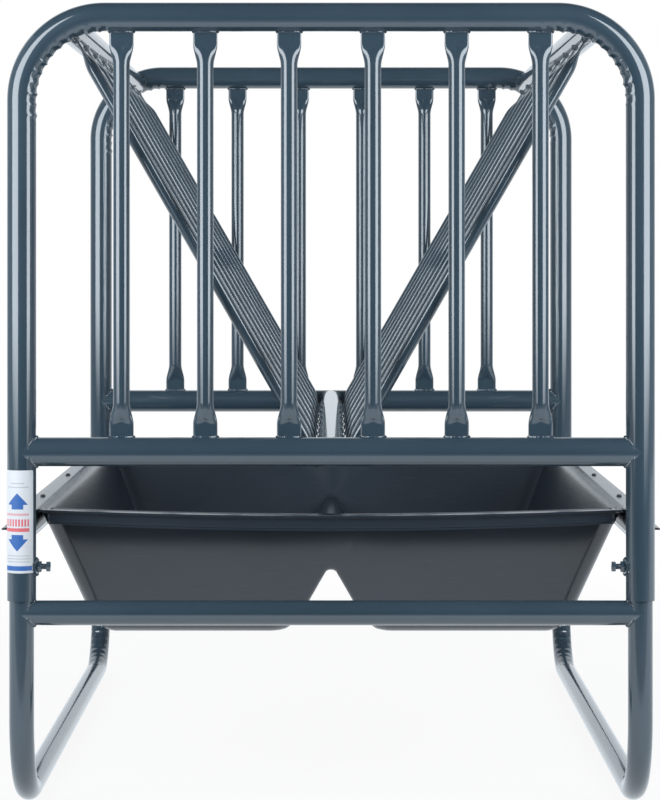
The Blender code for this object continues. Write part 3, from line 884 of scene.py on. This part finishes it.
pick(trough, "EDGE", lambda edge: edge.is_boundary
     and all(abs(v.co.x) < CURL_CUTS[-1] + TINY and abs(v.co.y) > TUB_HALF_LENGTH
             for v in edge.verts))
for depth, inward in SKIRT_ROWS:
    extrude_picked(trough, skirt_place(depth))
pick_all()
bpy.ops.mesh.remove_doubles(threshold=TINY)
face_outwards()
close_piece()
lowest = min(trough.data.polygons, key=lambda face: face.center.z)
if lowest.normal.z > 0:
    trough.data.flip_normals()
rows = [skirt_row(vertex.co) for vertex in trough.data.vertices]
ways_in = [skirt_inward(vertex.co) for vertex in trough.data.vertices]
give_wall(trough, TROUGH_WALL)
for number, vertex in enumerate(trough.data.vertices):
    if number >= len(rows) and abs(vertex.co.x) > LEG_X + FLARE_REACH - FLARE_RADIUS:
        vertex.co.z -= FLARE_THINNING
    inward = rows[number % len(rows)]
    if inward:
        vertex.co += inward * ways_in[number % len(rows)]
        vertex.co.y -= math.copysign(curl_at(trough.data.vertices[number % len(rows)].co.x),
                                     vertex.co.y)
    elif inward == 0.0 and number >= len(rows):
        vertex.co.z += LIP_RISE


# Three hex washer-head screws a side hold each long rim down onto its rail. They are steel
# with a black zinc plate.
SCREW_RADIUS = 0.0027
SCREW_LENGTH = 0.020
SCREW_POINT = 0.005
WASHER_RADIUS = 0.0048
WASHER_THICKNESS = 0.0007
SCREW_HEAD_FLATS = 0.0070
SCREW_HEAD = 0.0021
SCREW_PITCH = 0.0018
SCREW_THREAD = 0.0005
SCREW_SEAT_SHARE = 0.8
WASHER_EDGE = 0.0003
DISH_EDGE = 0.0009
DISH_DEPTH = 0.0006
SCREW_CLEARANCE = 2 * GAP
TROUGH_HOLE_LENGTH = 0.05
RAIL_HOLE_DROP = 0.015
RAIL_HOLE_LENGTH = 0.02
THREAD_RINGS = 6
TIP_SHARE = 0.12
CONE_FOOT_SHARE = 0.58
CONE_SLOPE = 1.6
CONE_TOP_SHARE = 0.47


def black_zinc_plate(name, colour, pale):
    """Black zinc plate on steel: dark and satin, mottled where its passivation is uneven."""
    material, shader, place = new_finish(name)
    shader.inputs["Metallic"].default_value = 0.5
    mottle = place.noise(260.0, 4.0)
    grain = place.noise(2400.0, 2.0)
    feed(shader, "Base Color", mottle.fade(0.3, 0.7).blend((*colour, 1), (*pale, 1)))
    feed(shader, "Roughness", 0.26 + mottle * 0.22)
    roughen(shader, grain, 0.1, 0.0001)
    return material


def threaded_rod(name, radius, pitch, depth, length, sides, taper):
    """A closed rod down from the origin, its helical thread moved in, tapered to a point."""
    rod = cylinder(name, sides, radius, length, (0, 0, -length / 2))
    settle(rod)
    open_piece(rod)
    pick(rod, "EDGE", lambda edge: abs(edge.verts[0].co.z - edge.verts[1].co.z) > length / 2)
    bpy.ops.mesh.subdivide(number_cuts=round(length / pitch * THREAD_RINGS))
    close_piece()
    for vertex in rod.data.vertices:
        x, y, z = vertex.co
        turn = math.atan2(y, x) / (2 * math.pi) - z / pitch
        tooth = abs(2 * (turn % 1) - 1)
        tip = min(max((z + length) / taper, TIP_SHARE), 1.0) if taper else 1.0
        scale = tip * (1 - depth * tooth / radius)
        vertex.co.x *= scale
        vertex.co.y *= scale
    return rod


def hex_head(name, flats, height, bottom):
    """A hexagonal head whose corners are turned down to a shallow cone."""
    middle = (0, 0, bottom + height / 2)
    head = cylinder(name, 6, flats / math.sqrt(3), height, middle)
    settle(head)
    bpy.ops.mesh.primitive_cone_add(vertices=48, depth=height, location=middle,
                                    radius1=flats * CONE_FOOT_SHARE + height * CONE_SLOPE,
                                    radius2=flats * CONE_TOP_SHARE)
    cut_with(head, bpy.context.object, "INTERSECT")
    return head


black_zinc = black_zinc_plate("screw_black_zinc", (0.035, 0.037, 0.042), (0.070, 0.073, 0.080))
screw = threaded_rod("screw_pattern", SCREW_RADIUS, SCREW_PITCH, SCREW_THREAD, SCREW_LENGTH, 16,
                     SCREW_POINT)
washer = cylinder("screw_washer", 32, WASHER_RADIUS, WASHER_THICKNESS,
                  (0, 0, WASHER_THICKNESS / 2))
settle(washer)
apply_modifier(washer, "edge", "BEVEL", width=WASHER_EDGE, segments=3)
head = hex_head("screw_head", SCREW_HEAD_FLATS, SCREW_HEAD, WASHER_THICKNESS * SCREW_SEAT_SHARE)
open_piece(head)
pick(head, "FACE", lambda face: face.normal.z > 0.99)
bpy.ops.mesh.inset(thickness=DISH_EDGE)
bpy.ops.transform.translate(value=(0, 0, -DISH_DEPTH))
close_piece()
join_onto(screw, washer, head)
for side, sign in SIDE_SIGNS:
    for number in range(1, 4):
        node = f"{side}_trough_screw_{number}"
        low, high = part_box(node)
        place = Vector(((low.x + high.x) / 2, (low.y + high.y) / 2, low.z + SCREW_LENGTH))
        drill(trough, place, SCREW_RADIUS + SCREW_CLEARANCE, TROUGH_HOLE_LENGTH)
        drill(bpy.data.objects[side + "_trough_rail_tube"],
              place - Vector((0, 0, RAIL_HOLE_DROP)), SCREW_RADIUS + SCREW_CLEARANCE,
              RAIL_HOLE_LENGTH)
        copy = copy_of(screw, node + "_hex", Matrix.Translation(place))
        hand_over(copy, "upper_frame", "screw_steel", black_zinc, node)
bpy.data.objects.remove(screw)
trough_plastic = moulded_plastic("trough_plastic_skin", (0.024, 0.032, 0.043),
                                 (0.028, 0.037, 0.049))
hand_over(trough, "upper_frame", "trough_plastic", trough_plastic, "trough")


# A nut is welded over a hole in the inner side of each sleeve, and a 3/8 inch set bolt through
# it bites on the skid's leg to hold the height. Nuts and bolts are coated with the frame.
NUT_FLATS = 0.0160
NUT_THICKNESS = 0.0085
NUT_SADDLE = 0.0020
BOLT_FLATS = 0.0142875
BOLT_HEAD = 0.006
BOLT_PITCH = 0.0015875
BOLT_THREAD = 0.0007
NUT_WELD_RADIUS = 0.0102
NUT_WELD_THICKNESS = 0.0040
NUT_HOLE_LENGTH = 0.06
SADDLE_LENGTH = 0.1
sleeve_face = LEG_X - FRAME_RADIUS

bolt_length = bolt_high.x - bolt_low.x
bolt = threaded_rod("bolt_pattern", BOLT_RADIUS, BOLT_PITCH, BOLT_THREAD,
                    bolt_length - BOLT_HEAD / 2, 24, 0)
bolt.data.transform(Matrix.Translation((0, 0, -BOLT_HEAD / 2)))
head = hex_head("bolt_head", BOLT_FLATS, BOLT_HEAD, -BOLT_HEAD)
join_onto(bolt, head)
nut = hex_head("nut_pattern", NUT_FLATS, NUT_THICKNESS + NUT_SADDLE, -NUT_THICKNESS - NUT_SADDLE)
for end, y in END_YS:
    for side, sign in SIDE_SIGNS:
        turn = Matrix.Rotation(sign * -math.pi / 2, 4, "Y")
        node = f"{end}_{side}_clamp_bolt"
        low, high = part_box(node)
        face_x = high.x if sign < 0 else low.x
        copy = copy_of(bolt, node + "_thread", Matrix.Translation((face_x, y, CLAMP_Z)) @ turn)
        coat(copy, node, f"{end}_{side}_clamp")

        node = f"{end}_{side}_weld_nut"
        place = (sign * (sleeve_face - NUT_THICKNESS), y, CLAMP_Z)
        copy = copy_of(nut, node + "_hex", Matrix.Translation(place) @ turn)
        cut_with(copy, cylinder("sleeve_round", 96, FRAME_RADIUS + GAP, SADDLE_LENGTH,
                                (sign * LEG_X, y, CLAMP_Z)))
        drill(copy, (sign * sleeve_face, y, CLAMP_Z), BOLT_RADIUS + BOLT_CLEARANCE,
              NUT_HOLE_LENGTH, RAIL_AXES["X"])

        def nut_weld(turned):
            outward = Vector((0, math.cos(turned), math.sin(turned)))
            point = outward * NUT_WELD_RADIUS
            depth = math.sqrt(FRAME_RADIUS ** 2 - point.y ** 2)
            return (Vector((sign * (LEG_X - depth), y + point.y, CLAMP_Z + point.z)), outward,
                    Vector((-sign, 0, 0)))

        join_onto(copy, weld_bead(node + "_weld", NUT_WELD_THICKNESS, nut_weld))
        coat(copy, node)
bpy.data.objects.remove(bolt)
bpy.data.objects.remove(nut)


# A printed white film is stuck round the front of the left sleeve at one end. Two arrows show
# which way the sleeve slides, between rows of plain bars.
FILM_Z = (0.3724, 0.5296)
FILM_MIDDLE = math.radians(-12)
FILM_HALF_WIDTH = math.radians(70) * FRAME_RADIUS
FILM_CORNER = 0.003
FILM_THICKNESS = 0.00015
FILM_LIFT = 0.00005
FILM_STEPS = 36
FILM_CUT_THRESHOLD = 0.000001
FOOT_BAR = (0.0038, 0.0110)
FOOT_BAR_HALF_WIDTH = 0.0245
SHAFTS = ((0.0976, 0.1046), (0.0519, 0.0587))
SHAFT_HALF_WIDTH = 0.0095
UP_POINT = (0.1046, 0.1225)
DOWN_POINT = (0.0334, 0.0519)
POINT_SLOPES = (0.95, 0.92)
RED_SHIFT = 0.003
RED_ROWS = ((0.0634, 0.0690), (0.0715, 0.0825), (0.0880, 0.0915))
RED_X = ((-0.0235, 0.0225), (-0.0210, 0.0215))
RED_FAINT = 0.55
STRIPES_PER_METRE = 210
STRIPE_SHARE = 0.58
GREY_LINES = ((0.0260, 0.0273, 0.0205), (0.0214, 0.0227, 0.0205), (0.0169, 0.0182, 0.0205),
              (0.1308, 0.1322, 0.0185), (0.1366, 0.1380, 0.0110))
ARROW_BLUE = (0.045, 0.155, 0.470, 1)
BAR_RED = (0.780, 0.165, 0.190, 1)
BAR_GREY = (0.36, 0.38, 0.41, 1)
FILM_WHITE = (0.80, 0.81, 0.84, 1)


def band(value, low, high):
    """1 between low and high."""
    return (value > low) * (value < high)


def film_print(name):
    """White film with its arrows and bars, laid out in metres on the film's own map."""
    material, shader, place = new_finish(name)
    film_map = place.node("UVMap", {}, {"uv_map": "film"})
    across = film_map.node("SeparateXYZ", {"Vector": film_map}, output=0)
    up = film_map.node("SeparateXYZ", {"Vector": film_map}, output=1)
    off_middle = across.node("Math", {0: across}, {"operation": "ABSOLUTE"})
    arrows = band(up, *FOOT_BAR) * (off_middle < FOOT_BAR_HALF_WIDTH)
    for low, high in SHAFTS:
        arrows += band(up, low, high) * (off_middle < SHAFT_HALF_WIDTH)
    arrows += band(up, *UP_POINT) * (off_middle < (UP_POINT[1] - up) * POINT_SLOPES[0])
    arrows += band(up, *DOWN_POINT) * (off_middle < (up - DOWN_POINT[0]) * POINT_SLOPES[1])
    shifted = across + RED_SHIFT
    solid, striped, faint = [band(up, low, high) for low, high in RED_ROWS]
    counted = shifted * STRIPES_PER_METRE
    stripes = counted.node("Math", {0: counted}, {"operation": "FRACT"}) < STRIPE_SHARE
    reds = (solid + striped * stripes) * band(shifted, *RED_X[0])
    reds += faint * band(shifted, *RED_X[1]) * RED_FAINT
    greys = sum(band(up, low, high) * (off_middle < half) for low, high, half in GREY_LINES)
    yellowing = place.noise(35.0, 3.0)
    film = yellowing.fade(0.35, 0.75).blend(FILM_WHITE, (0.74, 0.755, 0.78, 1))
    printed = (greys * 0.6).blend(film, BAR_GREY)
    printed = reds.blend(printed, BAR_RED)
    printed = arrows.blend(printed, ARROW_BLUE)
    feed(shader, "Base Color", printed)
    feed(shader, "Roughness", 0.30 + yellowing * 0.15)
    crease = place.noise(90.0, 2.0)
    roughen(shader, crease, 0.05, 0.0003)
    return material


start_fresh()
bpy.ops.mesh.primitive_plane_add(size=1)
film = named("height_label_film")
film_height = FILM_Z[1] - FILM_Z[0]
bpy.ops.transform.resize(value=(2 * FILM_HALF_WIDTH, film_height, 1))
settle(film)
open_piece(film)
pick_all()
bpy.ops.mesh.bevel(offset=FILM_CORNER, segments=6, affect="VERTICES")
for step in range(1, FILM_STEPS):
    pick_all()
    cut_x = FILM_HALF_WIDTH * (2 * step / FILM_STEPS - 1)
    bpy.ops.mesh.bisect(plane_co=(cut_x, 0, 0), plane_no=(1, 0, 0), threshold=FILM_CUT_THRESHOLD)
close_piece()
apply_modifier(film, "thickness", "SOLIDIFY", thickness=FILM_THICKNESS, offset=1)
while film.data.uv_layers:
    film.data.uv_layers.remove(film.data.uv_layers[0])
film_uv = film.data.uv_layers.new(name="film")
for corner, loop in enumerate(film.data.loops):
    co = film.data.vertices[loop.vertex_index].co
    film_uv.data[corner].uv = (co.x, co.y + film_height / 2)
for vertex in film.data.vertices:
    x, y, z = vertex.co
    angle = FILM_MIDDLE + x / FRAME_RADIUS
    reach = FRAME_RADIUS + FILM_LIFT + z
    vertex.co = (-LEG_X + reach * math.sin(angle), -END_Y - reach * math.cos(angle),
                 FILM_Z[0] + film_height / 2 + y)
shade(film)
set_finish(film, film_print("label_film_print"))
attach(film, "upper_frame")


# The studio: a white paper floor that ends a little in front of the feeder, a white backdrop
# behind it, dim side walls, a soft lamp overhead, and two wide diffusion screens either side of
# the gap that the camera looks through.
SCREEN_Y = -2.1
SCREEN_X = (1.03, 5.0)
SCREEN_Z = (0.30, 2.7)
SCREEN_FADE_Z = (0.30, 0.76)
SCREEN_LIGHT = 5.6
PAPER_EDGE_Y = (-2.1, -1.7)
PAPER_FADE_Y = (-3.6, -2.4)
BACKDROP_Y = 6.0
BACKDROP_SIZE = (14.0, 7.0)
BACKDROP_LIGHT = 0.88
SIDE_WALL_LIGHT = 0.3
OVERHEAD_LIGHT = 0.3
STUDIO_TINT = (0.87, 0.94, 1.0, 1)
LAMP_SIZE = 3.0
LAMP_PLACE = (0, 0.3, 4.0)
FLOOR_SIZE = 80
FLOOR_DROP = 0.0005
FLOOR_GLOW = 0.92
PAPER_FAR_LIGHT = 0.3
AIR_LIGHT = 0.16
AIR_GLOSS_CUT = 0.13
CAMERA_DISTANCE = 4.277
CAMERA_HEIGHT = 0.8604
CAMERA_LENS = 125.35
CAMERA_SHIFT = (-0.00125, -0.1825)


def is_ray(tree, kind):
    return Value(tree.nodes.new("ShaderNodeLightPath").outputs[f"Is {kind} Ray"])


def glowing_panel(name, place, size, rotation, strength):
    """A flat soft light that the camera doesn't see; strength(place) may vary over it."""
    start_fresh()
    bpy.ops.mesh.primitive_plane_add(size=1, location=place, rotation=rotation)
    panel = named(name)
    panel.scale = (*size, 1)
    settle(panel)
    panel.visible_camera = False
    material, _, where = new_finish(name + "_glow")
    glow = where.node("Emission", {"Color": STUDIO_TINT, "Strength": strength(where)})
    feed(material.node_tree.nodes["Material Output"], "Surface", glow)
    set_finish(panel, material)


def screen_strength(where):
    height = where.node("SeparateXYZ", {"Vector": where}, output=2)
    return height.fade(*SCREEN_FADE_Z) * SCREEN_LIGHT


screen_size = (SCREEN_X[1] - SCREEN_X[0], SCREEN_Z[1] - SCREEN_Z[0])
for side, sign in SIDE_SIGNS:
    place = (sign * sum(SCREEN_X) / 2, SCREEN_Y, sum(SCREEN_Z) / 2)
    glowing_panel(side + "_screen", place, screen_size, RAIL_AXES["Y"], screen_strength)
    wall_size = (BACKDROP_SIZE[1], BACKDROP_Y - SCREEN_Y)
    place = (sign * BACKDROP_SIZE[0] / 2, (BACKDROP_Y + SCREEN_Y) / 2, BACKDROP_SIZE[1] / 2)
    glowing_panel(side + "_side_wall", place, wall_size, RAIL_AXES["X"],
                  lambda where: SIDE_WALL_LIGHT)
glowing_panel("studio_backdrop", (0, BACKDROP_Y, BACKDROP_SIZE[1] / 2), BACKDROP_SIZE,
              RAIL_AXES["Y"], lambda where: BACKDROP_LIGHT)

overhead = bpy.data.lights.new("overhead", "AREA")
overhead.size = LAMP_SIZE
overhead.energy = OVERHEAD_LIGHT * math.pi * overhead.size ** 2
holder = bpy.data.objects.new("overhead", overhead)
bpy.context.scene.collection.objects.link(holder)
holder.location = LAMP_PLACE
holder.visible_camera = False
holder.visible_glossy = False

bpy.ops.mesh.primitive_plane_add(size=FLOOR_SIZE, location=(0, 0, -FLOOR_DROP))
floor = named("studio_floor")
floor_paper, _, place = new_finish("studio_floor_paper")
tree = floor_paper.node_tree
from_feeder = place.node("VectorMath", {0: place}, {"operation": "LENGTH"}, output=1)
forward = place.node("SeparateXYZ", {"Vector": place}, output=1)
camera_ray, glossy_ray = is_ray(tree, "Camera"), is_ray(tree, "Glossy")
paper_grey = camera_ray.blend((0.5, 0.5, 0.5, 1), (0.95, 0.95, 0.95, 1))
plain = place.node("BsdfDiffuse", {"Color": paper_grey})
paper_tint = glossy_ray.blend((1, 1, 1, 1), STUDIO_TINT)
paper_light = (PAPER_FAR_LIGHT * forward.fade(*PAPER_FADE_Y)
               + (1 - PAPER_FAR_LIGHT) * forward.fade(*PAPER_EDGE_Y))
glow = place.node("Emission", {"Color": paper_tint,
                               "Strength": camera_ray + glossy_ray * paper_light})
lit = camera_ray * (FLOOR_GLOW + (1 - FLOOR_GLOW) * from_feeder.fade(1.2, 3.0)) + glossy_ray
mixed = place.node("MixShader", {0: lit, 1: plain, 2: glow})
feed(tree.nodes["Material Output"], "Surface", mixed)
set_finish(floor, floor_paper)

world = bpy.data.worlds.new("studio_air")
bpy.context.scene.world = world
world.use_nodes = True
background = world.node_tree.nodes["Background"]
camera_ray = is_ray(world.node_tree, "Camera")
glossy_ray = is_ray(world.node_tree, "Glossy")
strength = AIR_LIGHT + (1 - AIR_LIGHT) * camera_ray - AIR_GLOSS_CUT * glossy_ray
feed(background, "Strength", strength)
background.inputs["Color"].default_value = (1, 1, 1, 1)

camera = bpy.data.objects.new("camera", bpy.data.cameras.new("camera"))
bpy.context.scene.collection.objects.link(camera)
camera.location = (0, -END_Y - CAMERA_DISTANCE, CAMERA_HEIGHT)
camera.rotation_euler = (math.pi / 2, 0, 0)
camera.data.sensor_fit = "VERTICAL"
camera.data.sensor_height = 36
camera.data.lens = CAMERA_LENS
camera.data.shift_x, camera.data.shift_y = CAMERA_SHIFT
bpy.context.scene.camera = camera
bpy.context.scene.view_settings.view_transform = "Standard"
